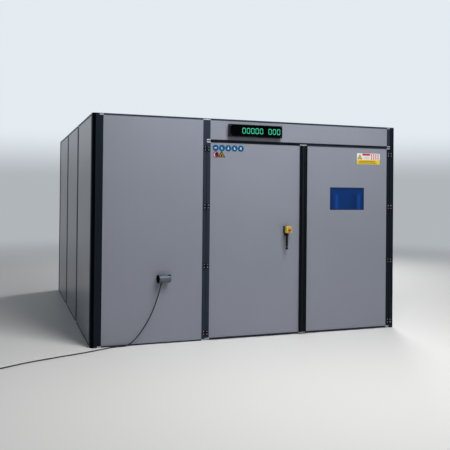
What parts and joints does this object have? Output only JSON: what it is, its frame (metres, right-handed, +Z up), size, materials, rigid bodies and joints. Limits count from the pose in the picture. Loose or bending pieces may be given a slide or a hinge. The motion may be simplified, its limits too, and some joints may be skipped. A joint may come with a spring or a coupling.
{
  "type": "laser welding cell",
  "caption": "Walk-in laser welding cell: framed sheet walls and roof on rounded corner posts, double door with blue filter window, lever and stop switch, display, cable outlet and lead.",
  "frame": {"origin": "middle of the cell's own box at floor level, without the supply cable", "axes": "+Z up, +Y from the door side to the rear, +X to the right seen from the door side"},
  "size_m": [4.5032, 4.5339, 2.3],
  "materials": {
    "post_finish": "satin dark grey anodised extrusion",
    "frame_finish": "satin dark grey anodised extrusion",
    "stile_finish": "satin black anodised extrusion",
    "bare_block": "bare sawn aluminium",
    "wall_sheet": "satin blue-grey powder coat",
    "roof_sheet": "satin blue-grey powder coat",
    "beam_finish": "satin dark grey paint",
    "lamp_housing": "white housing with a milky lens",
    "hinge_finish": "black coated steel",
    "sign_housing": "satin black",
    "sign_face": "dark smoked filter",
    "switch_red": "red plastic",
    "outlet_plastic": "grey-blue plastic",
    "gland_plastic": "black nylon",
    "cable_rubber": "black rubber",
    "plug_rubber": "black rubber with steel pins",
    "seal_rubber": "black rubber and brush",
    "gasket_rubber": "black rubber",
    "zinc_steel": "zinc plated steel",
    "black_plastic": "black plastic",
    "yellow_plastic": "yellow plastic",
    "red_plastic": "red plastic",
    "lever_finish": "black coated metal",
    "window_blue": "deep blue laser filter pane"
  },
  "bodies": {
    "enclosure": {"corner_post_front_left": "post_finish", "corner_post_front_right": "post_finish", "corner_post_rear_left": "post_finish", "corner_post_rear_right": "post_finish", "front_uprights": "frame_finish", "front_rails": "frame_finish", "side_uprights": "frame_finish", "side_rails": "frame_finish", "rear_uprights": "frame_finish", "rear_rails": "frame_finish", "end_blocks": "bare_block", "front_wall_sheet": "wall_sheet", "header_sheet": "wall_sheet", "left_wall_sheets": "wall_sheet", "right_wall_sheets": "wall_sheet", "rear_wall_sheets": "wall_sheet", "roof_sheets": "roof_sheet", "roof_beams": "beam_finish", "work_lights": "lamp_housing", "door_stops": "frame_finish", "wall_hinge_leaves": "hinge_finish", "sign_housing": "sign_housing", "sign_face": "sign_face", "interlock_switches": "switch_red", "outlet_barrel": "outlet_plastic", "outlet_fittings": "outlet_plastic", "outlet_cap": "outlet_plastic", "outlet_gland": "gland_plastic", "cable": "cable_rubber", "cable_coil": "cable_rubber", "cable_plug": "plug_rubber"},
    "door_left": {"door_left_hinge_stile": "frame_finish", "door_left_meeting_stile": "stile_finish", "door_left_rails": "frame_finish", "door_left_end_blocks": "bare_block", "door_left_sheet": "wall_sheet", "door_left_hinge_leaves": "hinge_finish", "door_left_seals": "seal_rubber", "interlock_actuator_left": "switch_red", "lock_case": "zinc_steel", "switch_base": "black_plastic", "switch_cover": "yellow_plastic"},
    "lever": {"door_lever": "lever_finish", "inner_lever": "lever_finish"},
    "latch": {"latch_bolt": "zinc_steel"},
    "stop_stem": {"stop_button_stem": "black_plastic"},
    "stop_head": {"stop_button_head": "red_plastic"},
    "door_right": {"door_right_hinge_stile": "frame_finish", "door_right_meeting_stile": "stile_finish", "door_right_rails": "frame_finish", "door_right_end_blocks": "bare_block", "door_right_sheet": "wall_sheet", "door_right_hinge_leaves": "hinge_finish", "door_right_seals": "seal_rubber", "interlock_actuator_right": "switch_red", "window_gasket": "gasket_rubber", "window_pane": "window_blue", "bolt_guides": "zinc_steel"},
    "upper_bolt": {"top_bolt": "zinc_steel"},
    "lower_bolt": {"bottom_bolt": "zinc_steel"}
  },
  "joints": [
    {"name": "door_left_swing", "type": "hinge", "parent": "enclosure", "child": "door_left", "pos_m": [-0.5525, -1.89515, 1.032], "axis": [0, 0, -1], "range_deg": [0, 120]},
    {"name": "door_right_swing", "type": "hinge", "parent": "enclosure", "child": "door_right", "pos_m": [1.656, -1.89515, 1.032], "axis": [0, 0, 1], "range_deg": [0, 120]},
    {"name": "lever_turn", "type": "hinge", "parent": "door_left", "child": "lever", "pos_m": [0.3425, -1.93715, 1.085], "axis": [0, 1, 0], "range_deg": [0, 90]},
    {"name": "latch_throw", "type": "slide", "parent": "door_left", "child": "latch", "axis": [1, 0, 0], "range_m": [0, 0.02]},
    {"name": "stop_press", "type": "slide", "parent": "door_left", "child": "stop_stem", "axis": [0, 1, 0], "range_m": [0, 0.004]},
    {"name": "stop_release_turn", "type": "hinge", "parent": "stop_stem", "child": "stop_head", "pos_m": [0.3525, -1.98915, 1.139], "axis": [0, 1, 0], "range_deg": [0, 30]},
    {"name": "top_bolt_throw", "type": "slide", "parent": "door_right", "child": "upper_bolt", "axis": [0, 0, 1], "range_m": [0, 0.02]},
    {"name": "bottom_bolt_throw", "type": "slide", "parent": "door_right", "child": "lower_bolt", "axis": [0, 0, -1], "range_m": [0, 0.02]}
  ],
  "couplings": [
    {"joint": "latch_throw", "follows": "lever_turn", "m_per_rad": 0.012732}
  ]
}
